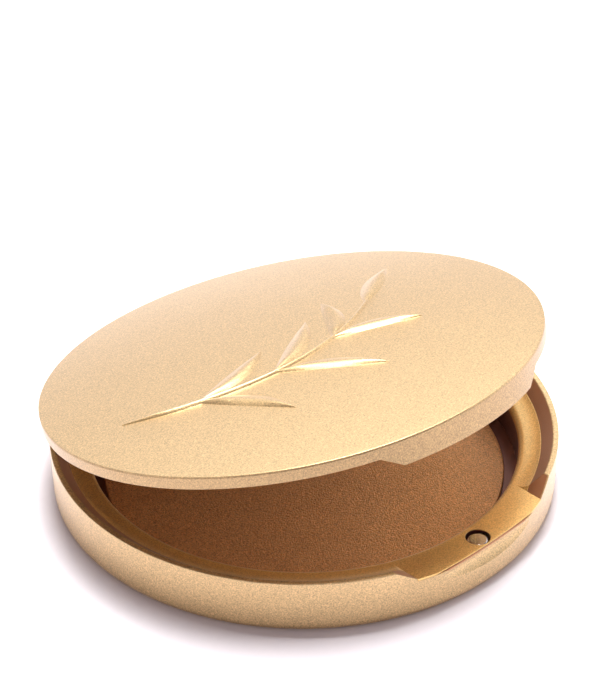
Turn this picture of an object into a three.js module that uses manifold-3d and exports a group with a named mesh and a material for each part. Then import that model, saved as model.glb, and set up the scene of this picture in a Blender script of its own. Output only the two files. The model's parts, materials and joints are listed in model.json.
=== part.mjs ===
// A round, refillable powder compact: a shallow base with a well for the refill pan, and a domed lid
// that turns on two short pins at the back.
//
// Millimetres, +Z up. The origin is the centre of the flat face under the base. The front, with its
// notch and thumb scoop, faces -Y, and the hinge is at +Y. The lid stands a little open.

import * as THREE from 'three';
import { mergeVertices } from 'three/addons/utils/BufferGeometryUtils.js';
import Module from 'manifold-3d';

const wasm = await Module();
wasm.setup();

// ---------------------------------------------------------------- driving dimensions

const ROUND_STEPS = 96; // facets round a full turn of the large pieces
const SMALL_STEPS = 24; // facets round a pin or a magnet
const FAR = 60; // reach of a cutting block past the object's surface
const FIT_GAP = 0.05; // clearance between pieces that are fixed to each other
const RUN_GAP = 0.3; // clearance between the lid and the base

// base
const BASE_HEIGHT = 8.8; // from the rest face to the rim
const RIM_R = 38; // outside of the rim
const RIM_INNER_R = 37.2; // inside of the rim's flat top
const RIM_EDGE = 0.12; // bevel on the rim's outer edge
const BOTTOM_R = 37.75; // outside of the wall just above its bottom corner
const CORNER_R = 1.3; // round between wall and rest face
const WALL_INNER_R = 36.1;
const FLOOR_TOP = 1.1; // upper face of the shell's floor
const FLOOR_FILLET = 0.6; // slope where the floor meets the wall

// inside the base: a cove rises from the crest round the well to the rim
const LAND_Z = 6.8; // flat land in the front notch, level with the crest
const WELL_R = 32.1;
const CREST_START_R = 33.0; // the crest is flat from here
const CREST_END_R = 34.1; // to here, where the cove starts
const TRAY_R = 35.35; // outer edge of the tray, at the crease in the cove
const CREASE_Z = 7.3;
const CREST_ROUND = 0.8; // height of the rounding between crest and well wall
const WELL_WALL = 1.0; // thickness of the well's wall
const TRAY_SKIN = 0.8; // thickness of the tray's top

// front notch: a trapezoid seen from the front
const NOTCH_HALF = 13.1; // half width at the land
const NOTCH_SLOPE = 1.55; // how much wider each side gets per millimetre of height
const FLANGE = 0.35; // thickness of the tray where it covers the shell's wall in the notch

const LIP_ARC_R = 115; // the land's lip is a flat arc
const LIP_FRONT = 37.1; // how far it reaches at the middle

// thumb scoop under the notch: a hollow-sided drum, much larger than the base, shaves the wall
const SCOOP_ARC_R = 177;
const SCOOP_FRONT = LIP_FRONT - 0.04; // the scoop starts this far forward, under the lip
const SCOOP_HEIGHT = 2.3;
const SCOOP_STEPS = 4;
const DRUM_STEPS = 360; // facets round the drum and the lip's arc

// well
const PLATE_R = 30.1;
const PLATE_TOP = 1.6;
const PLATE_EDGE = 0.2;
const REFILL_MAGNET = { r: 8, height: 0.5 };

// closure magnets, one in the land and one in the lid's tab
const CLOSURE_MAGNET = { r: 1.65, height: 1.45, edge: 0.4 };
const CLOSURE_R = 35.1; // distance from the middle of the compact
const CLOSURE_HOLE_R = 1.83;
const CLOSURE_RECESS = 0.35; // of the base magnet, below the land
const CLOSURE_BOSS_WALL = 0.85; // metal round the base magnet's hole
const MAGNET_SEAT_GAP = 0.1; // behind a magnet in its hole

// hinge
const HINGE_Y = 36.4;
const HINGE_Z = 4.5;
const TONGUE_HALF = 5; // half width of the lid's tongue
const KNUCKLE_R = 1.25;
const PIN_R = 0.5;
const PIN_HOLE_R = 0.56;
const PIN_INNER_X = 1.2; // the pins' inner ends
const PIN_OUTER_X = 8.3;
const SLOT_FLOOR = 2.35; // lower edge of the slot, which stops the opened lid
const SLOT_CLEARANCE = 0.45; // in front of the knuckle
const TRAY_SLOT_CLEARANCE = 0.55; // of the tray, in front of the knuckle
const HINGE_BLOCK = { halfWidth: 11.5, inner: 33.4, bottom: 0.5, top: 5.8 };
const LID_OPENING = THREE.MathUtils.degToRad(14.6);

// lid, measured from the lower edge of its skirt
const LID_SEAT = BASE_HEIGHT + RUN_GAP; // height of the closed lid's skirt above the rest face
const LID_R = 38.05;
const SKIRT_HEIGHT = 1.95;
const DOME_RISE = 2.35; // of the middle above the skirt's upper edge
const LID_EDGE = 0.12; // bevel between dome and skirt
const SKIRT_INNER_R = 36.8;
const SKIRT_INNER_TOP = 0.9;
const CEILING = 1.75; // flat inner face, behind the mirror
const CEILING_R = 30.2;
const TAB_DEPTH = 2.0;
const TAB_INNER_Y = 33.2;
const TAB_TOP = 1.45; // inside the shell, where tab and tongue end

// mirror
const MIRROR_R = 29;
const MIRROR_FACE = 0.35;
const MIRROR_THICK = 1.0;
const ADHESIVE = { r: 27, height: 0.2, gap: 0.1 };
const FRAME_LIP_R = 28.4;
const FRAME_OUTER_R = 36.5;
const FRAME_BOTTOM = 0.1;
const FRAME_TOP_GAP = 0.17; // under the shell's inner face
const FRAME_SIDE_GAP = 0.12;
const FRAME_LIP_GAP = 0.08; // between the lip and the mirror's face
const FRAME_NOTCH_HALF = 16.6; // half width of the cut round the tab
const FRAME_SLOT_Y = 34.8; // where the cut round the tongue starts

// leaf sprig in relief on the dome: the stem is one bent line, the leaves stand off it in pairs
const RELIEF_HEIGHT = 0.55;
const RELIEF_R = 34; // the sprig stays inside this radius
const SPRIG_TURN = THREE.MathUtils.degToRad(-45); // direction of the sprig's own right-hand side
const STEM = { from: [-24, -17], bend: [6, -15], to: [12, 12], halfWidth: 0.8, taper: 0.6 };
const LEAF_PAIRS = [
  { along: 0.2, length: 16, spread: 0.7 },
  { along: 0.45, length: 17, spread: 0.7 },
  { along: 0.72, length: 14, spread: 0.7 },
];
const LEAF_HALF_WIDTH = 1.6;
const LEAF_BOW = 2.4;
const TIP_LEAF = { along: 0.97, length: 15, bow: 1 };

// ---------------------------------------------------------------- solids

// A closed manifold solid from any closed three.js geometry.
function solid(geometry) {
  const bare = geometry.clone();
  bare.deleteAttribute('normal');
  bare.deleteAttribute('uv');
  const merged = mergeVertices(bare, 1e-4);
  const points = merged.getAttribute('position');
  const index = merged.getIndex().array;
  const triangles = [];
  for (let i = 0; i < index.length; i += 3) {
    const [a, b, c] = [index[i], index[i + 1], index[i + 2]];
    if (a !== b && b !== c && c !== a) triangles.push(a, b, c);
  }
  return new wasm.Manifold(
    new wasm.Mesh({
      numProp: 3,
      vertProperties: new Float32Array(points.array),
      triVerts: new Uint32Array(triangles),
    })
  );
}

function geometryOf(manifold) {
  const mesh = manifold.getMesh();
  const geometry = new THREE.BufferGeometry();
  geometry.setAttribute('position', new THREE.BufferAttribute(mesh.vertProperties, 3));
  geometry.setIndex(new THREE.BufferAttribute(mesh.triVerts, 1));
  geometry.computeVertexNormals();
  return geometry;
}

// A turned body about Z. The profile lists [radius, height] upwards along its outside.
function turned(profile, steps = ROUND_STEPS) {
  const points = profile.map(([r, z]) => new THREE.Vector2(r, z));
  return new THREE.LatheGeometry(points, steps).rotateX(Math.PI / 2);
}

function turnedRing(profile, steps = ROUND_STEPS) {
  return turned([...profile, profile[0]], steps);
}

// A quarter round from one profile point to the next, bulging towards the given corner.
function quarter(from, corner, to, steps = 4) {
  const points = [];
  for (let i = 1; i < steps; i += 1) {
    const angle = (i / steps) * (Math.PI / 2);
    const [s, c] = [Math.sin(angle), Math.cos(angle)];
    const between = (k) => corner[k] + (from[k] - corner[k]) * (1 - s) + (to[k] - corner[k]) * (1 - c);
    points.push([between(0), between(1)]);
  }
  return points;
}

function disc(radius, bottom, top, steps = ROUND_STEPS) {
  return new THREE.CylinderGeometry(radius, radius, top - bottom, steps)
    .rotateX(Math.PI / 2)
    .translate(0, 0, (bottom + top) / 2);
}

function block([x0, x1], [y0, y1], [z0, z1]) {
  const box = new THREE.BoxGeometry(x1 - x0, y1 - y0, z1 - z0);
  return box.translate((x0 + x1) / 2, (y0 + y1) / 2, (z0 + z1) / 2);
}

function polygon(points) {
  return new THREE.Shape(points.map(([x, y]) => new THREE.Vector2(x, y)));
}

// An outline drawn in X and Z, pushed forwards along -Y.
function frontPrism(points, fromY, depth) {
  return new THREE.ExtrudeGeometry(polygon(points), { depth, bevelEnabled: false })
    .rotateX(Math.PI / 2)
    .translate(0, fromY, 0);
}

function rodAlongX(radius, x0, x1, y, z) {
  return new THREE.CylinderGeometry(radius, radius, x1 - x0, SMALL_STEPS)
    .rotateZ(Math.PI / 2)
    .translate((x0 + x1) / 2, y, z);
}

// ---------------------------------------------------------------- base

// The notch's outline from its floor up; its ends stand upright below the land and lean out above it.
function notchOutline(floor, shrink) {
  const half = NOTCH_HALF - shrink;
  const top = BASE_HEIGHT + FAR;
  const wide = half + NOTCH_SLOPE * (top - LAND_Z);
  const right = [[half, floor], [half, LAND_Z], [wide, top]];
  const kept = floor < LAND_Z ? right : right.slice(1);
  return [...kept, ...kept.map(([x, z]) => [-x, z]).reverse()];
}

function scoopTool() {
  const centreY = SCOOP_ARC_R - SCOOP_FRONT;
  const top = LAND_Z - FLANGE - FIT_GAP;
  const bottom = top - SCOOP_HEIGHT;
  const wallAtBottom = RIM_R - ((RIM_R - BOTTOM_R) * (BASE_HEIGHT - bottom)) / (BASE_HEIGHT - CORNER_R);
  const bottomR = centreY + wallAtBottom + 0.02;
  const face = new THREE.QuadraticBezierCurve(
    new THREE.Vector2(bottomR, bottom),
    new THREE.Vector2(SCOOP_ARC_R, (top + bottom) / 2),
    new THREE.Vector2(SCOOP_ARC_R, top)
  )
    .getPoints(SCOOP_STEPS)
    .map(({ x, y }) => [x, y]);
  const profile = [[0, bottom - 1], [bottomR, bottom - 1], ...face, [SCOOP_ARC_R, top + 1], [0, top + 1]];
  const drum = turned(profile, DRUM_STEPS);
  const front = block([-FAR / 4, FAR / 4], [-FAR, -FAR / 2], [bottom, top + 0.2]);
  return solid(front).subtract(solid(drum.translate(0, centreY, 0)));
}

function closureHole(bottom, top) {
  return solid(disc(CLOSURE_HOLE_R, bottom, top, SMALL_STEPS).translate(0, -CLOSURE_R, 0));
}

function baseShell() {
  const wallFoot = [BOTTOM_R - CORNER_R, 0];
  const wallStart = [BOTTOM_R, CORNER_R];
  const body = solid(
    turned([
      [0, 0],
      wallFoot,
      ...quarter(wallFoot, [BOTTOM_R, 0], wallStart),
      wallStart,
      [RIM_R, BASE_HEIGHT - RIM_EDGE],
      [RIM_R - RIM_EDGE, BASE_HEIGHT],
      [RIM_INNER_R, BASE_HEIGHT],
      [TRAY_R + 0.1, CREASE_Z],
      [TRAY_R + 0.1, CREASE_Z - TRAY_SKIN],
      [WALL_INNER_R, CREASE_Z - 2 * TRAY_SKIN],
      [WALL_INNER_R, FLOOR_TOP + FLOOR_FILLET],
      [WALL_INNER_R - FLOOR_FILLET, FLOOR_TOP],
      [0, FLOOR_TOP],
    ])
  );
  const { halfWidth, inner, bottom, top } = HINGE_BLOCK;
  const inside = solid(disc(BOTTOM_R - 0.5, bottom, BASE_HEIGHT));
  const clearOfWell = solid(disc(WELL_R + WELL_WALL + 0.2, -1, BASE_HEIGHT + 1));
  const hingeBlock = solid(block([-halfWidth, halfWidth], [inner, FAR], [bottom, top]));
  const bossR = CLOSURE_HOLE_R + CLOSURE_BOSS_WALL;
  const magnetBoss = solid(disc(bossR, bottom, top - 0.1, SMALL_STEPS).translate(0, -CLOSURE_R, 0));
  const lugs = hingeBlock.add(magnetBoss).intersect(inside).subtract(clearOfWell);

  const slotHalf = TONGUE_HALF + RUN_GAP;
  const slotInner = HINGE_Y - KNUCKLE_R - SLOT_CLEARANCE;
  const slot = solid(block([-slotHalf, slotHalf], [slotInner, FAR], [SLOT_FLOOR, FAR]));
  const pinHole = solid(rodAlongX(PIN_HOLE_R, -FAR / 4, FAR / 4, HINGE_Y, HINGE_Z));
  const notchFloor = LAND_Z - FLANGE - FIT_GAP;
  const notch = solid(frontPrism(notchOutline(notchFloor, 0), -FAR / 2, FAR / 2));
  const magnetPocket = closureHole(LAND_Z - CLOSURE_RECESS - CLOSURE_MAGNET.height - MAGNET_SEAT_GAP, FAR);
  const refillSeat = FLOOR_TOP - REFILL_MAGNET.height - MAGNET_SEAT_GAP;
  const refillPocket = solid(disc(REFILL_MAGNET.r + 0.2, refillSeat, FLOOR_TOP + 1));
  return [slot, pinHole, notch, scoopTool(), magnetPocket, refillPocket].reduce(
    (shell, cut) => shell.subtract(cut),
    body.add(lugs)
  );
}

function baseTray() {
  const foot = FLOOR_TOP + FIT_GAP;
  const wallTop = [WELL_R, LAND_Z - CREST_ROUND];
  const crest = [CREST_START_R, LAND_Z];
  const outerWall = WELL_R + WELL_WALL;
  const ring = solid(
    turnedRing([
      [outerWall, foot],
      [outerWall, LAND_Z - TRAY_SKIN - 0.1],
      [TRAY_R, CREASE_Z - TRAY_SKIN],
      [TRAY_R, CREASE_Z],
      [CREST_END_R, LAND_Z],
      crest,
      ...quarter(crest, [WELL_R, LAND_Z], wallTop),
      wallTop,
      [WELL_R, foot],
    ])
  );
  const drop = (BASE_HEIGHT - LAND_Z) / (BASE_HEIGHT - CORNER_R);
  const wallR = RIM_R - (RIM_R - BOTTOM_R) * drop;
  const flangeZ = [LAND_Z - FLANGE, LAND_Z];
  const lipArc = disc(LIP_ARC_R, LAND_Z - 2, LAND_Z + 2, DRUM_STEPS).translate(0, LIP_ARC_R - LIP_FRONT, 0);
  const half = NOTCH_HALF - FIT_GAP;
  const flange = solid(block([-half, half], [-FAR, -FAR / 2], flangeZ))
    .intersect(solid(disc(wallR, ...flangeZ)))
    .intersect(solid(lipArc))
    .subtract(solid(disc(CREST_START_R, LAND_Z - 1, LAND_Z + 1)));
  const notch = solid(frontPrism(notchOutline(LAND_Z, 0), -FAR / 2, FAR / 2));
  const hingeGap = solid(
    block(
      [-TONGUE_HALF - 2 * RUN_GAP, TONGUE_HALF + 2 * RUN_GAP],
      [HINGE_Y - KNUCKLE_R - TRAY_SLOT_CLEARANCE, FAR],
      [LAND_Z - 2, FAR]
    )
  );
  return ring.subtract(notch).add(flange).subtract(closureHole(LAND_Z - 2, FAR)).subtract(hingeGap);
}

function wellFloorPlate() {
  const bottom = FLOOR_TOP + FIT_GAP;
  const side = [PLATE_R, PLATE_TOP - PLATE_EDGE];
  const top = [PLATE_R - PLATE_EDGE, PLATE_TOP];
  return turned([
    [0, bottom],
    [PLATE_R, bottom],
    side,
    ...quarter(side, [PLATE_R, PLATE_TOP], top, 3),
    top,
    [0, PLATE_TOP],
  ]);
}

function closureMagnet(bottom) {
  const { r, height, edge } = CLOSURE_MAGNET;
  const top = bottom + height;
  return turned(
    [[0, bottom], [r - edge, bottom], [r, bottom + edge], [r, top - edge], [r - edge, top], [0, top]],
    SMALL_STEPS
  ).translate(0, -CLOSURE_R, 0);
}

// ---------------------------------------------------------------- lid

const DOME_TOP = SKIRT_HEIGHT + DOME_RISE;
const DOME_R = (LID_R ** 2 + DOME_RISE ** 2) / (2 * DOME_RISE);

// Height of the dome, raised by an amount, at a radius.
function domeZ(r, raise = 0) {
  return DOME_TOP + raise - DOME_R + Math.sqrt(DOME_R ** 2 - r ** 2);
}

function domeProfile(outerR, raise = 0, steps = 6) {
  const points = [];
  for (let i = 0; i <= steps; i += 1) {
    const r = outerR * (1 - i / steps);
    points.push([r, domeZ(r, raise)]);
  }
  return points;
}

// A slender leaf from a root along a direction, bowed to one side; both of its edges are bent lines.
function leafShape(root, direction, length, bow, halfWidth) {
  const side = new THREE.Vector2(-direction.y, direction.x);
  const tip = root.clone().addScaledVector(direction, length);
  const middle = root.clone().addScaledVector(direction, length / 2);
  const left = middle.clone().addScaledVector(side, bow + 2 * halfWidth);
  const right = middle.clone().addScaledVector(side, bow - 2 * halfWidth);
  const shape = new THREE.Shape();
  shape.moveTo(root.x, root.y);
  shape.quadraticCurveTo(right.x, right.y, tip.x, tip.y);
  shape.quadraticCurveTo(left.x, left.y, root.x, root.y);
  return shape;
}

function sprigShapes() {
  const [from, bend, to] = [STEM.from, STEM.bend, STEM.to].map(([x, y]) => new THREE.Vector2(x, y));
  const stem = new THREE.QuadraticBezierCurve(from, bend, to);
  const stemShape = new THREE.Shape();
  const rows = 8;
  const edge = (sign) =>
    Array.from({ length: rows + 1 }, (_, i) => {
      const t = i / rows;
      const tangent = stem.getTangent(t);
      const half = STEM.halfWidth * (1 - STEM.taper * t);
      return stem.getPoint(t).add(new THREE.Vector2(-tangent.y, tangent.x).multiplyScalar(sign * half));
    });
  stemShape.setFromPoints([...edge(-1), ...edge(1).reverse()]);
  const shapes = [stemShape];
  for (const { along, length, spread } of LEAF_PAIRS) {
    for (const sign of [1, -1]) {
      const direction = stem.getTangent(along).rotateAround(new THREE.Vector2(), sign * spread);
      shapes.push(leafShape(stem.getPoint(along), direction, length, sign * -LEAF_BOW, LEAF_HALF_WIDTH));
    }
  }
  const tipRoot = stem.getPoint(TIP_LEAF.along);
  shapes.push(leafShape(tipRoot, stem.getTangent(1), TIP_LEAF.length, TIP_LEAF.bow, LEAF_HALF_WIDTH));
  return shapes;
}

function sprigRelief() {
  const settings = { depth: 4, bevelEnabled: false, curveSegments: 8 };
  const pushed = sprigShapes().map((shape) =>
    solid(new THREE.ExtrudeGeometry(shape, settings).translate(0, 0, 2).rotateZ(SPRIG_TURN))
  );
  const raised = solid(turned([[0, 1], [RELIEF_R, 1], ...domeProfile(RELIEF_R, RELIEF_HEIGHT)]));
  return pushed.reduce((all, one) => all.add(one)).intersect(raised);
}

function tongue() {
  const axisZ = HINGE_Z - LID_SEAT;
  const outline = new THREE.Shape();
  outline.moveTo(HINGE_Y + KNUCKLE_R, TAB_TOP - FIT_GAP);
  outline.lineTo(HINGE_Y - KNUCKLE_R, TAB_TOP - FIT_GAP);
  outline.lineTo(HINGE_Y - KNUCKLE_R, axisZ);
  outline.absarc(HINGE_Y, axisZ, KNUCKLE_R, Math.PI, 2 * Math.PI, false);
  const [x, y, z] = [new THREE.Vector3(1, 0, 0), new THREE.Vector3(0, 1, 0), new THREE.Vector3(0, 0, 1)];
  const upright = new THREE.Matrix4().makeBasis(y, z, x);
  const settings = { depth: 2 * TONGUE_HALF, bevelEnabled: false, curveSegments: 10 };
  return new THREE.ExtrudeGeometry(outline, settings)
    .applyMatrix4(upright)
    .translate(-TONGUE_HALF, 0, 0);
}

function tab() {
  const lean = RUN_GAP * Math.hypot(1, NOTCH_SLOPE);
  const halfAt = (z) => NOTCH_HALF + NOTCH_SLOPE * (z + LID_SEAT - LAND_Z) - lean;
  const foot = halfAt(-TAB_DEPTH);
  const head = halfAt(0);
  const right = [[foot, -TAB_DEPTH], [head, 0], [head, TAB_TOP]];
  const outline = [...right, ...right.map(([x, z]) => [-x, z]).reverse()];
  const insideSkirt = solid(disc(LID_R, -TAB_DEPTH - 1, TAB_TOP + 1));
  return solid(frontPrism(outline, -TAB_INNER_Y, FAR)).intersect(insideSkirt);
}

function lidShell() {
  const body = solid(
    turned([
      [0, CEILING],
      [CEILING_R, CEILING],
      [SKIRT_INNER_R, SKIRT_INNER_TOP],
      [SKIRT_INNER_R, 0],
      [LID_R - LID_EDGE, 0],
      [LID_R, LID_EDGE],
      [LID_R, SKIRT_HEIGHT - LID_EDGE],
      ...domeProfile(LID_R - LID_EDGE),
    ])
  );
  const magnetPocket = closureHole(-TAB_DEPTH - 1, -TAB_DEPTH + CLOSURE_MAGNET.height + 0.2);
  const pinBore = solid(rodAlongX(PIN_HOLE_R, -FAR / 4, FAR / 4, HINGE_Y, HINGE_Z - LID_SEAT));
  return body.add(sprigRelief()).add(tab()).add(solid(tongue())).subtract(magnetPocket).subtract(pinBore);
}

function mirrorFrame() {
  const lipTop = MIRROR_FACE - FRAME_LIP_GAP;
  const seatR = MIRROR_R + RUN_GAP;
  const ring = solid(
    turnedRing([
      [FRAME_LIP_R, FRAME_BOTTOM],
      [FRAME_OUTER_R, FRAME_BOTTOM],
      [FRAME_OUTER_R, SKIRT_INNER_TOP - FRAME_SIDE_GAP],
      [CEILING_R, CEILING - FRAME_TOP_GAP],
      [seatR, CEILING - FRAME_TOP_GAP],
      [seatR, lipTop],
      [FRAME_LIP_R, lipTop],
    ])
  );
  const height = [FRAME_BOTTOM - 1, CEILING + 1];
  const notchHalf = FRAME_NOTCH_HALF;
  const aroundTab = solid(block([-notchHalf, notchHalf], [-FAR, -TAB_INNER_Y + RUN_GAP], height));
  const slotHalf = TONGUE_HALF + RUN_GAP;
  const aroundTongue = solid(block([-slotHalf, slotHalf], [FRAME_SLOT_Y, FAR], height));
  return ring.subtract(aroundTab).subtract(aroundTongue);
}

// ---------------------------------------------------------------- materials and assembly

function metal(color, roughness) {
  return new THREE.MeshStandardMaterial({ color, roughness, metalness: 1 });
}

function piece(name, shape, material) {
  const geometry = shape.isBufferGeometry ? geometryOf(solid(shape)) : geometryOf(shape);
  const mesh = new THREE.Mesh(geometry, material);
  mesh.name = name;
  return mesh;
}

const compact = new THREE.Group();
compact.add(
  piece('base_shell', baseShell(), metal(0xe3c39a, 0.42)),
  piece('base_tray', baseTray(), metal(0xd9b67e, 0.42)),
  piece('well_floor_plate', wellFloorPlate(), metal(0xc79c62, 0.55)),
  piece(
    'refill_magnet',
    disc(REFILL_MAGNET.r, FLOOR_TOP - REFILL_MAGNET.height - 0.05, FLOOR_TOP - 0.05, ROUND_STEPS / 2),
    metal(0xb9b9bd, 0.3)
  ),
  piece(
    'base_closure_magnet',
    closureMagnet(LAND_Z - CLOSURE_RECESS - CLOSURE_MAGNET.height),
    metal(0xc9c4c4, 0.2)
  )
);
for (const [name, sign] of [['hinge_pin_left', -1], ['hinge_pin_right', 1]]) {
  const ends = [sign * PIN_INNER_X, sign * PIN_OUTER_X].sort((a, b) => a - b);
  compact.add(piece(name, rodAlongX(PIN_R, ...ends, HINGE_Y, HINGE_Z), metal(0xc4c6c9, 0.3)));
}

// The lid turns about the hinge line; its pieces keep the coordinates of the closed lid's skirt.
const lid = new THREE.Group();
lid.position.set(0, HINGE_Y, HINGE_Z);
lid.rotation.x = -LID_OPENING;
const mirrorBack = MIRROR_FACE + MIRROR_THICK;
const adhesiveBottom = mirrorBack + ADHESIVE.gap;
for (const mesh of [
  piece('lid_shell', lidShell(), metal(0xe9cfa4, 0.42)),
  piece('mirror_frame', mirrorFrame(), metal(0xe3c39a, 0.42)),
  piece('mirror', disc(MIRROR_R, MIRROR_FACE, mirrorBack), metal(0xeef2f4, 0.02)),
  piece(
    'mirror_adhesive',
    disc(ADHESIVE.r, adhesiveBottom, adhesiveBottom + ADHESIVE.height, ROUND_STEPS / 2),
    new THREE.MeshStandardMaterial({ color: 0xf2f0ea, roughness: 0.9, metalness: 0 })
  ),
  piece('lid_closure_magnet', closureMagnet(-TAB_DEPTH + 0.05), metal(0xc9c4c4, 0.2)),
]) {
  mesh.position.set(0, -HINGE_Y, LID_SEAT - HINGE_Z);
  lid.add(mesh);
}
compact.add(lid);

export default compact;
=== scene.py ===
"""Looks of a round, refillable powder compact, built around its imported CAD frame.

Shapes are drawn in millimetres and turned into metres when their mesh is made. +Z is up, -Y is the front
with its notch and thumb scoop, and +Y is the hinge. The lid's pieces are drawn as for the closed lid, with
z = 0 at the lower edge of its skirt, and then turned open about the hinge by the angle that the joint gives.
"""

import json
import math

import bmesh
import bpy
from mathutils import Matrix, Vector

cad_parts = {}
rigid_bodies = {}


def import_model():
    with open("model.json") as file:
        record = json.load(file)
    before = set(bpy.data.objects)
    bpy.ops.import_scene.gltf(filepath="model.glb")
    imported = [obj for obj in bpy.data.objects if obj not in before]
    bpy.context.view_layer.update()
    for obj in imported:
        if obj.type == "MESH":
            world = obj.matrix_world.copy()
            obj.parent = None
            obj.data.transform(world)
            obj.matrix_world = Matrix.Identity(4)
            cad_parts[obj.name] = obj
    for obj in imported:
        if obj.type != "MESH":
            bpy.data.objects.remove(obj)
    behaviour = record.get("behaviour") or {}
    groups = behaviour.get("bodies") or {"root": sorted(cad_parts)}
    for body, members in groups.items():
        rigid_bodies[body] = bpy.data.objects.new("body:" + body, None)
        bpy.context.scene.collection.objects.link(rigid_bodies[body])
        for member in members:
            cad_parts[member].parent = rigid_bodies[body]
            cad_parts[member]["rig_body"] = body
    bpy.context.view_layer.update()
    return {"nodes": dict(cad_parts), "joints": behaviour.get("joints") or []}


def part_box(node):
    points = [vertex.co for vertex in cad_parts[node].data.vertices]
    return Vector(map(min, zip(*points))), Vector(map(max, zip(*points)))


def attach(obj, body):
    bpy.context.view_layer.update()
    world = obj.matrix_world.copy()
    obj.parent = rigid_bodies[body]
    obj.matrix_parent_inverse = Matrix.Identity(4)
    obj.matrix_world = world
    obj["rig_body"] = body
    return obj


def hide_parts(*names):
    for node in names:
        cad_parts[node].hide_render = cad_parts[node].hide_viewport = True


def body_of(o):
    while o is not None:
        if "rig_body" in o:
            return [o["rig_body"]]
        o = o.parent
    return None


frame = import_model()

# ---------------------------------------------------------------- sizes, in millimetres

MM = 0.001
ROUND_STEPS = 384  # facets round a full turn of the large pieces
SMALL_STEPS = 96  # facets round a pin or a magnet
ARC_STEPS = 14  # facets across a rounded edge, so that each turns less than the crease angle
CREASE = math.radians(7.5)
MERGE_DISTANCE = 0.0008  # points nearer than this are one point
FAR = 60  # reach of a cutting block past the object's surface
PAST = 1  # reach of a cutting body past a face that it has to go through


def span(node):
    """Lowest and highest corner of a CAD node."""
    low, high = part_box(node)
    return low / MM, high / MM


base_high = span("base_shell")[1]
tray_low, tray_high = span("base_tray")
plate_low, plate_high = span("well_floor_plate")
magnet_low, magnet_high = span("base_closure_magnet")
pin_low, pin_high = span("hinge_pin_right")
hinge = frame["joints"][0]
HINGE_Y, HINGE_Z = (value / MM for value in hinge["pos_m"][1:])
LID_OPENING = math.radians(-hinge["range_deg"][0])

# base
FIT_GAP = 0.05  # between two fixed pieces
RUN_GAP = 0.3  # between the lid and the base
BASE_HEIGHT = base_high.z
RIM_R = base_high.x - 0.002  # keeps the finer rings inside the box of the CAD's coarser ones
RIM_INNER_R = RIM_R - 0.8
RIM_EDGE = 0.14
RIM_INNER_EDGE = 0.1  # rounding between the rim's flat top and the steep wall inside it
RIM_INNER_EDGE_IN, RIM_INNER_EDGE_DOWN = 0.09, 0.08  # how far in and down it meets that wall
BOTTOM_R = RIM_R - 0.25
CORNER_R = 1.3  # round between wall and rest face
WALL_INNER_R = RIM_R - 1.9
FLOOR_TOP = plate_low.z - FIT_GAP
FLOOR_FILLET = 0.6  # slope where the floor meets the wall

# tray: a cove rises from the crest round the well to the rim
TRAY_R = tray_high.x
TRAY_SEAT = 0.1  # how far the shell's seat reaches past the crease in the cove
TRAY_EDGE = 0.085  # how far the tray's edge reaches into that seat
TRAY_EDGE_DROP = 0.01  # of that edge below the crease
COVE_DROP = 0.03  # of the cove's start below the crease
COVE_BEND_R = 0.4  # the cove's bending point lies this far outside the crest's end
COVE_RUN_IN = 0.7  # and the cove ends this far inside it
CREASE_Z = 7.3
LAND_Z = 6.8  # flat land in the front notch, level with the crest
WELL_R = 32.1
CREST_START_R = 33.0
CREST_END_R = 34.1
CREST_ROUND = 0.8
WELL_WALL = 1.0
TRAY_SKIN = 0.8
SKIN_CORNER = 0.1  # the skin is this much thicker where it meets the well's wall
LAND_JOINT = 0.1  # the land's flange starts this far outside the crest's start, on the ring's flat top

# front notch and thumb scoop
NOTCH_HALF = 13.1  # half width at the land
NOTCH_SLOPE = 1.55  # how much wider each side gets per millimetre of height
FLANGE = 0.35  # thickness of the tray where it covers the shell's wall in the notch
LIP_FRONT = -tray_low.y  # the land's lip: how far it reaches at the middle, its arc and its rounded edge
LIP_ARC_R = 115
LIP_EDGE = 0.13
LIP_BEVEL = 0.15  # how far its underside slopes back
LIP_GROOVE = 0.25  # height and depth of the dark groove between the lip and the scoop
LIP_GROOVE_DEPTH = 0.08
SCOOP_FRONT = LIP_FRONT - 0.04
SCOOP_ARC_R = 177
SCOOP_HEIGHT = 2.3
SCOOP_HOLLOW = 0.3  # how far its bending point lies behind its upper edge
SCOOP_RUN_OUT = 0.02  # how far outside the wall its face ends, so that it runs out in the wall
SCOOP_STEPS = 10
DRUM_STEPS = 3 * ROUND_STEPS  # facets round the scoop's and the lip's large arcs

# well floor
PLATE_R = plate_high.x
PLATE_TOP = plate_high.z
PLATE_BOTTOM = plate_low.z
PLATE_EDGE = 0.2

# closure magnets
MAGNET_R = magnet_high.x
MAGNET_HEIGHT = magnet_high.z - magnet_low.z
MAGNET_EDGE = 0.45
CLOSURE_Y = (magnet_low.y + magnet_high.y) / 2
CLOSURE_HOLE_R = 1.83
CLOSURE_BOSS_WALL = 0.85  # metal round the base magnet's hole
MAGNET_SEAT_GAP = 0.1  # behind the base magnet
LID_MAGNET_RECESS = 0.05
LID_MAGNET_HOLE = MAGNET_HEIGHT + 0.2  # its depth

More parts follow.
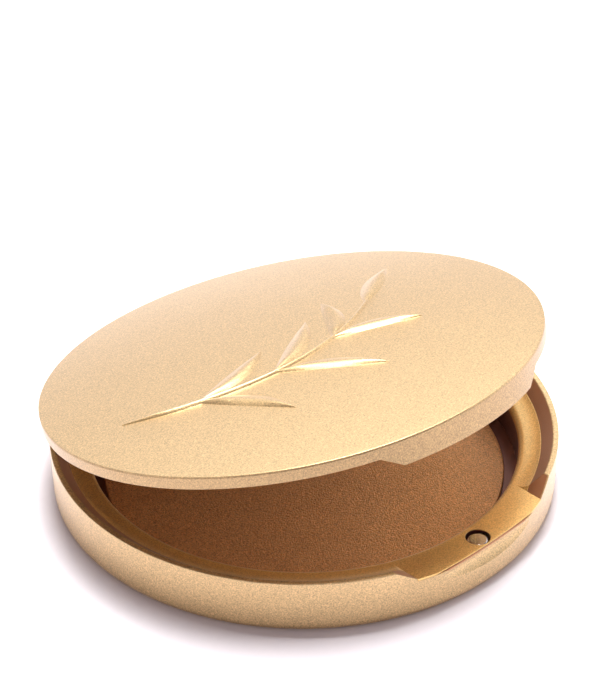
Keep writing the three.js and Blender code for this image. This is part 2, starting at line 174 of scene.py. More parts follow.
# hinge
TONGUE_HALF = 5
KNUCKLE_R = 1.25
PIN_R = (pin_high.z - pin_low.z) / 2
PIN_HOLE_R = 0.56
PIN_CHAMFER = 0.12
KNUCKLE_STEPS = 32
SLOT_FLOOR = 2.35  # lower edge of the slot, which stops the opened lid
SLOT_CLEARANCE = 0.45  # of the shell, in front of the knuckle
TRAY_SLOT_CLEARANCE = 0.55  # of the tray, in front of the knuckle
TRAY_SLOT_SIDE = 0.6  # of the tray, beside the tongue
BLOCK_HALF, BLOCK_INNER, BLOCK_BOTTOM, BLOCK_TOP = 11.5, 33.4, 0.5, 5.8  # metal round the pins
BLOCK_INSET = 0.5  # of the hinge block and the boss, from the outer wall
BLOCK_WELL_GAP = 0.2  # between them and the well's wall
BOSS_DROP = 0.1  # of the boss, below the top of the hinge block

# lid, above the lower edge of its skirt
LID_SEAT = BASE_HEIGHT + RUN_GAP
LID_R = span("lid_shell")[1].x - 0.006  # keeps the finer rings inside the box of the CAD's coarser ones
SKIRT_HEIGHT = 1.95
DOME_RISE = 2.35
LID_EDGE = 0.12
EDGE_GROOVE = 0.14  # fine line where the dome's edge meets the skirt
EDGE_GROOVE_DEPTH = 0.07
SKIRT_INNER_R = 36.8
SKIRT_INNER_TOP = 0.9
CEILING = 1.75
CEILING_R = 30.2
TAB_DEPTH = 2.0
TAB_INNER_Y = 33.2
TAB_TOP = 1.45  # inside the shell
TAB_SETBACK = 0.004  # of the tab's face, behind the skirt's
TONGUE_TOP = 1.4
DOME_RINGS = 28
DOME_TOP = SKIRT_HEIGHT + DOME_RISE
DOME_R = (LID_R**2 + DOME_RISE**2) / (2 * DOME_RISE)

# mirror
MIRROR_R = span("mirror")[1].x
MIRROR_FACE = 0.35
MIRROR_THICK = 1.0
MIRROR_BEVEL = 0.12
FRAME_LIP_R = 28.4
FRAME_OUTER_R = 36.5
FRAME_BOTTOM = 0.1
FRAME_LIP_BEVEL = 0.1
FRAME_BEVEL = 0.15
FRAME_LIP_GAP = 0.08  # between the lip and the mirror's face
FRAME_SIDE_GAP = 0.12
FRAME_TOP_GAP = 0.17  # under the shell's inner face
FRAME_CUT = (-1, 3)  # heights of a cut that goes right through the frame
FRAME_NOTCH_HALF = 16.6  # half width of the cut round the tab
FRAME_SLOT_Y = 34.8  # where the cut round the tongue starts

# leaf sprig in relief on the dome
RELIEF_HEIGHT = 0.55
RELIEF_SUNK = 0.03  # the leaves' outlines lie this far under the dome, so that their edges are crisp
RIDGE_ROOT = 0.5  # how far a ridge reaches down into the dome
RIDGE_STEPS = 20  # facets across a leaf or the stem
STEM_ROWS, LEAF_ROWS = 64, 36  # facets along them
RIDGE_LEAN = 0.25  # how far the crest lies off the middle, as a share of the half width
SPRIG_TURN = math.radians(-45)
STEM_FROM, STEM_BEND, STEM_TO = Vector((-24, -17)), Vector((6, -15)), Vector((12, 12))
STEM_HALF = 0.8
STEM_TAPER = 0.6
LEAF_PAIRS = ((0.2, 16, 0.7), (0.45, 17, 0.7), (0.72, 14, 0.7))  # place along the stem, length, spread
LEAF_HALF = 1.6
LEAF_TIP_HALF = 0.04
LEAF_BOW = 2.4
TIP_LEAF_LENGTH, TIP_LEAF_BOW = 15, 1
TIP_LEAF_ALONG = 0.97

# ---------------------------------------------------------------- mesh making


def made(name, points, faces):
    """An object from points in millimetres, with its faces turned outwards."""
    mesh = bpy.data.meshes.new(name)
    mesh.from_pydata([Vector(p) * MM for p in points], [], faces)
    work = bmesh.new()
    work.from_mesh(mesh)
    bmesh.ops.recalc_face_normals(work, faces=work.faces)
    work.to_mesh(mesh)
    work.free()
    thing = bpy.data.objects.new(name, mesh)
    bpy.context.scene.collection.objects.link(thing)
    return thing


def arc(start, corner, end, steps=ARC_STEPS):
    """A quarter round from one profile point to the next, bulging towards the given corner."""
    points = []
    for i in range(steps + 1):
        angle = i / steps * math.pi / 2
        s, c = math.sin(angle), math.cos(angle)
        from_start, from_end = 1 - s, 1 - c
        points.append(
            tuple(
                corner[k] + (start[k] - corner[k]) * from_start + (end[k] - corner[k]) * from_end
                for k in (0, 1)
            )
        )
    return points


def bent(start, bend, end, t):
    """A point along a bent line."""
    return tuple(start[k] * (1 - t) ** 2 + bend[k] * 2 * t * (1 - t) + end[k] * t**2 for k in (0, 1))


def turned(name, profile, steps=ROUND_STEPS, centre=(0, 0)):
    """A body turned about Z. The profile lists (radius, height) upwards along its outside, and starts and
    ends on the axis or comes back to its first point."""
    closed = profile[0] == profile[-1]
    rows = profile[:-1] if closed else profile
    points, rings = [], []
    for radius, height in rows:
        count = 1 if radius == 0 else steps
        rings.append((len(points), count))
        for i in range(count):
            angle = 2 * math.pi * i / steps
            x = centre[0] + radius * math.cos(angle)
            y = centre[1] + radius * math.sin(angle)
            points.append((x, y, height))
    pairs = list(zip(rings, rings[1:])) + ([(rings[-1], rings[0])] if closed else [])
    faces = []
    for (low, low_count), (high, high_count) in pairs:
        for i in range(steps):
            j = (i + 1) % steps
            corners = [low + i % low_count, low + j % low_count, high + j % high_count, high + i % high_count]
            face = list(dict.fromkeys(corners))
            if len(face) > 2:
                faces.append(face)
    return made(name, points, faces)


def swept(outline, push):
    """A prism: an outline of 3-D points, pushed along a vector."""
    count = len(outline)
    points = [Vector(p) for p in outline] + [Vector(p) + Vector(push) for p in outline]
    faces = [list(range(count)), list(range(2 * count - 1, count - 1, -1))]
    for i in range(count):
        j = (i + 1) % count
        faces.append([i, j, count + j, count + i])
    return made("swept", points, faces)


def block(x, y, z):
    outline = [(x[0], y[0], z[0]), (x[1], y[0], z[0]), (x[1], y[1], z[0]), (x[0], y[1], z[0])]
    return swept(outline, (0, 0, z[1] - z[0]))


def front_prism(outline, from_y):
    """An outline of (x, z), pushed forwards along -Y."""
    return swept([(x, from_y, z) for x, z in outline], (0, -FAR, 0))


def rod_along_x(radius, x, y, z, steps=SMALL_STEPS):
    angles = [2 * math.pi * i / steps for i in range(steps)]
    outline = [(x[0], y + radius * math.cos(a), z + radius * math.sin(a)) for a in angles]
    return swept(outline, (x[1] - x[0], 0, 0))


def combined(body, operation, *tools):
    """Cuts tools from a body, adds them to it or keeps what they share. The tools are used up."""
    for tool in tools:
        step = body.modifiers.new("combine", "BOOLEAN")
        step.operation = operation
        step.solver = "MANIFOLD"
        step.object = tool
        result = bpy.data.meshes.new_from_object(body.evaluated_get(bpy.context.evaluated_depsgraph_get()))
        body.modifiers.clear()
        old = body.data
        body.data = result
        bpy.data.meshes.remove(old)
        bpy.data.objects.remove(tool)
    return body


def cut(body, *tools):
    return combined(body, "DIFFERENCE", *tools)


def joined(body, *tools):
    return combined(body, "UNION", *tools)


def shared(body, *tools):
    return combined(body, "INTERSECT", *tools)


def opened(thing):
    """Moves a piece of the closed lid to where the lid stands open."""
    to_hinge = Matrix.Translation(Vector((0, -HINGE_Y, LID_SEAT - HINGE_Z)) * MM)
    back = Matrix.Translation(Vector((0, HINGE_Y, HINGE_Z)) * MM)
    thing.data.transform(back @ Matrix.Rotation(-LID_OPENING, 4, "X") @ to_hinge)
    return thing


def placed(thing, name, node, material):
    """Names a finished piece, smooths it up to a crease angle and puts it in a CAD node's place."""
    work = bmesh.new()
    work.from_mesh(thing.data)
    bmesh.ops.remove_doubles(work, verts=work.verts, dist=MERGE_DISTANCE * MM)
    work.to_mesh(thing.data)
    work.free()
    thing.name = name
    thing.data.name = name
    thing.data.shade_smooth()
    thing.data.set_sharp_from_angle(angle=CREASE)
    thing.data.materials.clear()
    thing.data.materials.append(material)
    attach(thing, body_of(frame["nodes"][node])[0])
    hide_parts(node)
    return thing


# ---------------------------------------------------------------- base


def notch_outline(floor, shrink=0.0):
    """The notch's outline from its floor up; its ends stand upright below the land and lean out above it."""
    half = NOTCH_HALF - shrink
    top = BASE_HEIGHT + FAR / 6
    wide = half + NOTCH_SLOPE * (top - LAND_Z)
    right = [(half, LAND_Z), (wide, top)]
    if floor < LAND_Z:
        right.insert(0, (half, floor))
    return right + [(-x, z) for x, z in reversed(right)]


def scoop_tool():
    """A front block less a hollow-sided drum that is much larger than the base."""
    centre_y = SCOOP_ARC_R - SCOOP_FRONT
    top = LAND_Z - FLANGE - FIT_GAP
    bottom = top - SCOOP_HEIGHT
    wall_at_bottom = RIM_R - (RIM_R - BOTTOM_R) * (BASE_HEIGHT - bottom) / (BASE_HEIGHT - CORNER_R)
    bottom_r = centre_y + wall_at_bottom + SCOOP_RUN_OUT
    upper, lower = (SCOOP_ARC_R, top - LIP_GROOVE), (bottom_r, bottom)
    bend = (SCOOP_ARC_R - SCOOP_HOLLOW, (top + bottom) / 2)
    face = [bent(lower, bend, upper, i / SCOOP_STEPS) for i in range(SCOOP_STEPS + 1)]
    groove_r = SCOOP_ARC_R - LIP_GROOVE_DEPTH
    drum = turned(
        "drum",
        [
            (0, bottom - PAST),
            (bottom_r, bottom - PAST),
            *face,
            (groove_r, top),
            (groove_r, top + PAST),
            (0, top + PAST),
        ],
        DRUM_STEPS,
        (0, centre_y),
    )
    return cut(block((-FAR / 4, FAR / 4), (-FAR, -FAR / 2), (bottom, top + PAST / 2)), drum)


def disc(radius, bottom, top, steps=ROUND_STEPS, centre=(0, 0)):
    return turned("disc", [(0, bottom), (radius, bottom), (radius, top), (0, top)], steps, centre)


def closure_hole(bottom, top):
    return disc(CLOSURE_HOLE_R, bottom, top, SMALL_STEPS, (0, CLOSURE_Y))


def base_shell():
    foot = (BOTTOM_R - CORNER_R, 0)
    rim_side = (RIM_R, BASE_HEIGHT - RIM_EDGE)
    rim_top = (RIM_R - RIM_EDGE, BASE_HEIGHT)
    rim_inner = (RIM_INNER_R + RIM_INNER_EDGE, BASE_HEIGHT)
    steep_wall = (RIM_INNER_R - RIM_INNER_EDGE_IN, BASE_HEIGHT - RIM_INNER_EDGE_DOWN)
    body = turned(
        "body",
        [
            (0, 0),
            *arc(foot, (BOTTOM_R, 0), (BOTTOM_R, CORNER_R)),
            *arc(rim_side, (RIM_R, BASE_HEIGHT), rim_top),
            *arc(rim_inner, (RIM_INNER_R, BASE_HEIGHT), steep_wall),
            (TRAY_R + TRAY_SEAT, CREASE_Z),
            (TRAY_R + TRAY_SEAT, CREASE_Z - TRAY_SKIN),
            (WALL_INNER_R, CREASE_Z - 2 * TRAY_SKIN),
            (WALL_INNER_R, FLOOR_TOP + FLOOR_FILLET),
            (WALL_INNER_R - FLOOR_FILLET, FLOOR_TOP),
            (0, FLOOR_TOP),
        ],
    )
    hinge_block = block((-BLOCK_HALF, BLOCK_HALF), (BLOCK_INNER, FAR), (BLOCK_BOTTOM, BLOCK_TOP))
    boss_r, boss_top = CLOSURE_HOLE_R + CLOSURE_BOSS_WALL, BLOCK_TOP - BOSS_DROP
    boss = disc(boss_r, BLOCK_BOTTOM, boss_top, SMALL_STEPS, (0, CLOSURE_Y))
    lugs = joined(hinge_block, boss)
    shared(lugs, disc(BOTTOM_R - BLOCK_INSET, BLOCK_BOTTOM - PAST, BASE_HEIGHT))
    cut(lugs, disc(WELL_R + WELL_WALL + BLOCK_WELL_GAP, -PAST, BASE_HEIGHT + PAST))
    joined(body, lugs)

    slot_half = TONGUE_HALF + RUN_GAP
    notch_floor = LAND_Z - FLANGE - FIT_GAP
    return cut(
        body,
        block((-slot_half, slot_half), (HINGE_Y - KNUCKLE_R - SLOT_CLEARANCE, FAR), (SLOT_FLOOR, FAR)),
        rod_along_x(PIN_HOLE_R, (-FAR / 4, FAR / 4), HINGE_Y, HINGE_Z),
        front_prism(notch_outline(notch_floor), -FAR / 2),
        scoop_tool(),
        closure_hole(magnet_low.z - MAGNET_SEAT_GAP, FAR),
    )


def base_tray():
    foot = FLOOR_TOP + FIT_GAP
    wall_top = (WELL_R, LAND_Z - CREST_ROUND)
    outer_wall = WELL_R + WELL_WALL
    first = (outer_wall, foot)
    cove_start = (TRAY_R, CREASE_Z - COVE_DROP)
    cove_bend = (CREST_END_R + COVE_BEND_R, LAND_Z)
    cove_end = (CREST_END_R - COVE_RUN_IN, LAND_Z)
    cove = [bent(cove_start, cove_bend, cove_end, i / ARC_STEPS) for i in range(ARC_STEPS + 1)]
    ring = turned(
        "ring",
        [
            first,
            (outer_wall, LAND_Z - TRAY_SKIN - SKIN_CORNER),
            (TRAY_R + TRAY_EDGE, CREASE_Z - TRAY_SKIN),
            (TRAY_R + TRAY_EDGE, CREASE_Z - TRAY_EDGE_DROP),
            *cove,
            *arc((CREST_START_R, LAND_Z), (WELL_R, LAND_Z), wall_top),
            (WELL_R, foot),
            first,
        ],
    )
    cut(ring, front_prism(notch_outline(LAND_Z), -FAR / 2))

    drop = (BASE_HEIGHT - LAND_Z) / (BASE_HEIGHT - CORNER_R)
    wall_r = RIM_R - (RIM_R - BOTTOM_R) * drop
    half = NOTCH_HALF - FIT_GAP
    flange = block((-half, half), (-FAR, -FAR / 2), (LAND_Z - FLANGE, LAND_Z + PAST))
    shared(flange, disc(wall_r, LAND_Z - FLANGE - PAST, LAND_Z + 2 * PAST))
    lip_edge = arc((LIP_ARC_R, LAND_Z - LIP_EDGE), (LIP_ARC_R, LAND_Z), (LIP_ARC_R - LIP_EDGE, LAND_Z))
    lip = turned(
        "lip",
        [
            (0, LAND_Z - 2 * PAST),
            (LIP_ARC_R - LIP_BEVEL, LAND_Z - 2 * PAST),
            (LIP_ARC_R - LIP_BEVEL, LAND_Z - FLANGE),
            *lip_edge,
            (0, LAND_Z),
        ],
        DRUM_STEPS,
        (0, LIP_ARC_R - LIP_FRONT),
    )
    shared(flange, lip)
    cut(flange, disc(CREST_START_R + LAND_JOINT, LAND_Z - PAST, LAND_Z + PAST))
    joined(ring, flange)
    gap_half = TONGUE_HALF + TRAY_SLOT_SIDE
    gap_y = HINGE_Y - KNUCKLE_R - TRAY_SLOT_CLEARANCE
    gap = block((-gap_half, gap_half), (gap_y, FAR), (LAND_Z - 2 * PAST, FAR))
    return cut(ring, closure_hole(LAND_Z - 2 * PAST, FAR), gap)


def well_floor_plate():
    side = (PLATE_R, PLATE_TOP - PLATE_EDGE)
    top = (PLATE_R - PLATE_EDGE, PLATE_TOP)
    edge = arc(side, (PLATE_R, PLATE_TOP), top)
    return turned("plate", [(0, PLATE_BOTTOM), (PLATE_R, PLATE_BOTTOM), *edge, (0, PLATE_TOP)])


def closure_magnet(bottom):
    top = bottom + MAGNET_HEIGHT
    inner = MAGNET_R - MAGNET_EDGE
    return turned(
        "magnet",
        [
            (0, bottom),
            *arc((inner, bottom), (MAGNET_R, bottom), (MAGNET_R, bottom + MAGNET_EDGE)),
            *arc((MAGNET_R, top - MAGNET_EDGE), (MAGNET_R, top), (inner, top)),
            (0, top),
        ],
        SMALL_STEPS,
        (0, CLOSURE_Y),
    )


def hinge_pin(node):
    """A turned pin along X with chamfered ends."""
    low, high = span(node)
    length = high.x - low.x
    pin = turned(
        "pin",
        [
            (0, 0),
            (PIN_R - PIN_CHAMFER, 0),
            (PIN_R, PIN_CHAMFER),
            (PIN_R, length - PIN_CHAMFER),
            (PIN_R - PIN_CHAMFER, length),
            (0, length),
        ],
        SMALL_STEPS,
    )
    place = Matrix.Translation(Vector((low.x, HINGE_Y, HINGE_Z)) * MM)
    pin.data.transform(place @ Matrix.Rotation(math.pi / 2, 4, "Y"))
    return pin


# ---------------------------------------------------------------- lid


def dome_z(radius):
    return DOME_TOP - DOME_R + math.sqrt(DOME_R**2 - radius**2)


def stem_point(t):
    return STEM_FROM * (1 - t) ** 2 + STEM_BEND * (2 * t * (1 - t)) + STEM_TO * t**2


def stem_tangent(t):
    return ((STEM_BEND - STEM_FROM) * (1 - t) + (STEM_TO - STEM_BEND) * t).normalized()


def ridge(line, half_width, height, rows):
    """A rounded ridge on the dome: line(t) gives its middle and the unit vector across it, half_width(t) and
    height(t) taper it. Its crest runs nearer to the edge that faces the front of the compact."""
    turn = Matrix.Rotation(SPRIG_TURN, 2)
    across_share = [2 * k / RIDGE_STEPS - 1 for k in range(RIDGE_STEPS + 1)]
    points, faces = [], []
    for i in range(rows + 1):
        t = i / rows
        middle, across = line(t)
        crest = -RIDGE_LEAN if (turn @ across).y > 0 else RIDGE_LEAN
        for depth in (0, 1):
            for u in across_share:
                x, y = turn @ (middle + across * (u * half_width(t)))
                reach = 1 - crest if u > crest else 1 + crest
                rise = math.cos(abs(u - crest) / reach * math.pi / 2) * height(t) - RELIEF_SUNK
                points.append((x, y, dome_z(math.hypot(x, y)) + (rise if depth == 0 else -RIDGE_ROOT)))
    count = len(across_share)
    stride = 2 * count
    for i in range(rows):
        here, there = i * stride, (i + 1) * stride
        for k in range(count - 1):
            faces.append([here + k, here + k + 1, there + k + 1, there + k])
            faces.append([here + count + k, there + count + k, there + count + k + 1, here + count + k + 1])
        for k in (0, count - 1):
            faces.append([here + k, there + k, there + count + k, here + count + k])
    for row in (0, rows * stride):
        faces.append([row + k for k in range(count)] + [row + count + k for k in reversed(range(count))])
    return made("ridge", points, faces)


def leaf(root, direction, length, bow):
    side = Vector((-direction.y, direction.x))

    def line(t):
        return root + direction * (length * t) + side * (bow * 2 * t * (1 - t)), side

    return ridge(
        line,
        lambda t: LEAF_TIP_HALF + 4 * LEAF_HALF * t * (1 - t),
        lambda t: RELIEF_HEIGHT * min(1, 5 * t * (1 - t) + 0.15) ** 0.7,
        LEAF_ROWS,
    )


def sprig():
    def stem_line(t):
        tangent = stem_tangent(t)
        return stem_point(t), Vector((-tangent.y, tangent.x))

    def stem_half(t):
        return STEM_HALF * (1 - STEM_TAPER * t) * min(1, 0.15 + 7 * t)

    def stem_height(t):
        return RELIEF_HEIGHT * (0.95 - 0.3 * t) * min(1, 0.3 + 8 * t)

    pieces = [ridge(stem_line, stem_half, stem_height, STEM_ROWS)]
    for along, length, spread in LEAF_PAIRS:
        for sign in (1, -1):
            direction = Matrix.Rotation(sign * spread, 2) @ stem_tangent(along)
            pieces.append(leaf(stem_point(along), direction, length, sign * -LEAF_BOW))
    pieces.append(leaf(stem_point(TIP_LEAF_ALONG), stem_tangent(1), TIP_LEAF_LENGTH, TIP_LEAF_BOW))
    return pieces


def tongue():
    axis_z = HINGE_Z - LID_SEAT
    outline = [(HINGE_Y + KNUCKLE_R, TONGUE_TOP), (HINGE_Y - KNUCKLE_R, TONGUE_TOP)]
    for i in range(KNUCKLE_STEPS + 1):
        angle = math.pi * (1 + i / KNUCKLE_STEPS)
        outline.append((HINGE_Y + KNUCKLE_R * math.cos(angle), axis_z + KNUCKLE_R * math.sin(angle)))
    return swept([(-TONGUE_HALF, y, z) for y, z in outline], (2 * TONGUE_HALF, 0, 0))


def tab():
    lean = RUN_GAP * math.hypot(1, NOTCH_SLOPE)

    def half_at(z):
        return NOTCH_HALF + NOTCH_SLOPE * (z + LID_SEAT - LAND_Z) - lean

    foot, head = half_at(-TAB_DEPTH), half_at(0)
    right = [(foot, -TAB_DEPTH), (head, 0), (head, TAB_TOP)]
    outline = right + [(-x, z) for x, z in reversed(right)]
    face = disc(LID_R - TAB_SETBACK, -TAB_DEPTH - PAST, TAB_TOP + PAST)
    return shared(front_prism(outline, -TAB_INNER_Y), face)


def lid_shell():
    skirt_top = (LID_R - LID_EDGE, dome_z(LID_R - LID_EDGE))
    ring_radii = [LID_R * (1 - i / DOME_RINGS) for i in range(1, DOME_RINGS)]
    body = turned(
        "body",
        [
            (0, CEILING),
            (CEILING_R, CEILING),
            (SKIRT_INNER_R, SKIRT_INNER_TOP),
            (SKIRT_INNER_R, 0),
            *arc((LID_R - LID_EDGE, 0), (LID_R, 0), (LID_R, LID_EDGE)),
            (LID_R, SKIRT_HEIGHT - LID_EDGE - EDGE_GROOVE),
            (LID_R - EDGE_GROOVE_DEPTH, SKIRT_HEIGHT - LID_EDGE - EDGE_GROOVE / 2),
            *arc((LID_R, SKIRT_HEIGHT - LID_EDGE), (LID_R, SKIRT_HEIGHT), skirt_top),
            *((radius, dome_z(radius)) for radius in ring_radii),
            (0, DOME_TOP),
        ],
    )
    joined(body, *sprig())
    joined(body, tab(), tongue())
    return cut(
        body,
        closure_hole(-TAB_DEPTH - PAST, -TAB_DEPTH + LID_MAGNET_HOLE),
        rod_along_x(PIN_HOLE_R, (-FAR / 4, FAR / 4), HINGE_Y, HINGE_Z - LID_SEAT),
    )


def mirror_frame():
    lip_top = MIRROR_FACE - FRAME_LIP_GAP
    frame_top = CEILING - FRAME_TOP_GAP
    seat_r = MIRROR_R + RUN_GAP
    first = (FRAME_LIP_R + FRAME_LIP_BEVEL, FRAME_BOTTOM)
    ring = turned(
        "ring",
        [
            first,
            (FRAME_OUTER_R - FRAME_BEVEL, FRAME_BOTTOM),
            (FRAME_OUTER_R, FRAME_BOTTOM + FRAME_BEVEL),
            (FRAME_OUTER_R, SKIRT_INNER_TOP - FRAME_SIDE_GAP),
            (CEILING_R, frame_top),
            (seat_r, frame_top),
            (seat_r, lip_top),
            (FRAME_LIP_R, lip_top),
            (FRAME_LIP_R, FRAME_BOTTOM + FRAME_LIP_BEVEL),
            first,
        ],
    )
    tongue_half = TONGUE_HALF + RUN_GAP
    return cut(
        ring,
        block((-FRAME_NOTCH_HALF, FRAME_NOTCH_HALF), (-FAR, -TAB_INNER_Y + RUN_GAP), FRAME_CUT),
        block((-tongue_half, tongue_half), (FRAME_SLOT_Y, FAR), FRAME_CUT),
    )


def mirror():
    back = MIRROR_FACE + MIRROR_THICK
    return turned(
        "mirror",
        [
            (0, MIRROR_FACE),
            (MIRROR_R - MIRROR_BEVEL, MIRROR_FACE),
            (MIRROR_R, MIRROR_FACE + MIRROR_BEVEL),
            (MIRROR_R, back),
            (0, back),
        ],
    )


# ---------------------------------------------------------------- materials


class Nodes:
    """A material's node tree, with a short way to add and link nodes."""

    def __init__(self, name):
        self.material = bpy.data.materials.new(name)
        self.material.use_nodes = True
        self.tree = self.material.node_tree
        self.shader = self.tree.nodes["Principled BSDF"]

    def add(self, kind, inputs, **settings):
        node = self.tree.nodes.new(kind)
        for key, value in settings.items():
            setattr(node, key, value)
        self.set(node, inputs)
        return node

    def set(self, node, inputs):
        for key, value in inputs.items():
            if isinstance(value, bpy.types.NodeSocket):
                self.tree.links.new(value, node.inputs[key])
            else:
                node.inputs[key].default_value = value

    def millimetres(self):
        """The place on the piece in millimetres."""
        place = self.add("ShaderNodeTexCoord", {}).outputs["Object"]
        return self.vector("MULTIPLY", place, (1 / MM,) * 3)["Vector"]

    def noise(self, place, per_mm, detail=2.0, roughness=0.5):
        node = self.add(
            "ShaderNodeTexNoise", {"Vector": place, "Scale": per_mm, "Detail": detail, "Roughness": roughness}
        )
        return node.outputs["Fac"]

    def cells(self, place, per_mm, output="Distance", feature="F1"):
        node = self.add("ShaderNodeTexVoronoi", {"Vector": place, "Scale": per_mm}, feature=feature)
        return node.outputs[output]

    def ranged(self, value, low, high, from_low=0.0, from_high=1.0):
        """The value's range from_low to from_high, moved to low to high."""
        inputs = {"Value": value, "From Min": from_low, "From Max": from_high, "To Min": low, "To Max": high}
        return self.add("ShaderNodeMapRange", inputs).outputs["Result"]

    def below(self, value, low, high):
        """1 below low, 0 above high, and a fade between them."""
        return self.ranged(value, 1.0, 0.0, low, high)

    def above(self, value, low, high):
        return self.ranged(value, 0.0, 1.0, low, high)

    def math(self, operation, a, b):
        return self.add("ShaderNodeMath", {0: a, 1: b}, operation=operation).outputs[0]

    def product(self, a, b):
        return self.math("MULTIPLY", a, b)

    def vector(self, operation, a, b=(0, 0, 0)):
        return self.add("ShaderNodeVectorMath", {0: a, 1: b}, operation=operation).outputs

    def mixed(self, share, a, b, blend="MIX"):
        node = self.add("ShaderNodeMix", {0: share, 6: a, 7: b}, data_type="RGBA", blend_type=blend)
        return node.outputs[2]

    def bump(self, height, depth_mm, normal=None):
        inputs = {"Height": height, "Strength": 1.0, "Distance": depth_mm * MM}
        if normal is not None:
            inputs["Normal"] = normal
        return self.add("ShaderNodeBump", inputs).outputs["Normal"]


def rgb(red, green, blue):
    return (red, green, blue, 1.0)


PAINT = rgb(0.61, 0.42, 0.200)
INNER_PAINT = rgb(0.86, 0.545, 0.195)
WELL_PAINT = rgb(0.74, 0.400, 0.170)
# painted shade: dark colours that stand in for shade in the well's gap and the magnet's hole, on the rim's
# steep wall and on the lid's skirt
GAP_PAINTED_SHADE = rgb(0.19, 0.065, 0.045)
RIM_WALL_PAINTED_SHADE = rgb(0.42, 0.18, 0.08)
SKIRT_PAINTED_SHADE = rgb(0.81, 0.78, 0.76)

EDGE_SOFTNESS = 0.09  # radius that the light sees on every edge of the paint

# where the painted shade begins and ends: pairs of radii or heights between which it fades
GAP_RADIUS = (33.4, 33.7)  # the gap round the well's floor lies inside this radius
GAP_TOP = (5.5, 6.0)
UNDERSIDE = (0.4, 0.5)  # the painted shade stays clear of the rest face
HOLE_RADIUS = (CLOSURE_HOLE_R + 0.01, CLOSURE_HOLE_R + 0.05)
HOLE_TOP = (LAND_Z - 0.2, LAND_Z - 0.05)
RIM_WALL_RADIUS = (37.7, 37.8)  # painted shade on the steep wall inside the rim, the notch's ends and the groove under the lip
RIM_WALL_FOOT = (LAND_Z - 0.72, LAND_Z - 0.52)
RIM_WALL_TOP = (BASE_HEIGHT - 0.12, BASE_HEIGHT - 0.06)
LID_AXIS = (0, math.sin(LID_OPENING), math.cos(LID_OPENING))
SKIRT_FACING = (0.3, 0.6)  # cosine between the surface's direction and the lid's axis, small on the skirt, which gets painted shade


def scaled(colour, share):
    """A paint colour made lighter or darker."""
    return rgb(*(min(1.0, channel * share) for channel in colour[:3]))


def with_painted_shade(nodes, place, colour, rim_wall_shade_share, skirt_shade_share):
    """The paint's colour with painted shade: darker deep in the gap round the well's floor, on the wall of
    the magnet's hole and, by a share each, on the steep wall inside the rim and the lid's skirt."""
    height = nodes.add("ShaderNodeSeparateXYZ", {"Vector": place}).outputs["Z"]
    flat = nodes.vector("MULTIPLY", place, (1, 1, 0))["Vector"]
    radius = nodes.vector("LENGTH", flat)["Value"]

    # painted shade deep in the gap round the well's floor
    gap_heights = nodes.product(nodes.below(height, *GAP_TOP), nodes.above(height, *UNDERSIDE))
    gap_shade_mask = nodes.product(nodes.below(radius, *GAP_RADIUS), gap_heights)
    colour = nodes.mixed(gap_shade_mask, colour, GAP_PAINTED_SHADE)

    # painted shade on the wall of the magnet's hole
    from_magnet = nodes.vector("DISTANCE", flat, (0, CLOSURE_Y, 0))["Value"]
    hole_shade_mask = nodes.product(nodes.below(from_magnet, *HOLE_RADIUS), nodes.below(height, *HOLE_TOP))
    colour = nodes.mixed(hole_shade_mask, colour, GAP_PAINTED_SHADE)

    # painted shade on the steep wall inside the rim, the notch's ends and the groove under the lip
    wall_heights = nodes.product(nodes.above(height, *RIM_WALL_FOOT), nodes.below(height, *RIM_WALL_TOP))
    rim_wall_shade_mask = nodes.product(nodes.below(radius, *RIM_WALL_RADIUS), wall_heights)
    colour = nodes.mixed(nodes.product(rim_wall_shade_mask, rim_wall_shade_share), colour, RIM_WALL_PAINTED_SHADE)

    # painted shade on the lid's skirt: faces that stand across the lid's axis are darker
    facing = nodes.add("ShaderNodeTexCoord", {}).outputs["Normal"]
    along_axis = nodes.math("ABSOLUTE", nodes.vector("DOT_PRODUCT", facing, LID_AXIS)["Value"], 0)
    skirt_shade_mask = nodes.product(nodes.below(along_axis, *SKIRT_FACING), skirt_shade_share)
    return nodes.mixed(skirt_shade_mask, colour, nodes.mixed(1.0, colour, SKIRT_PAINTED_SHADE, "MULTIPLY"))


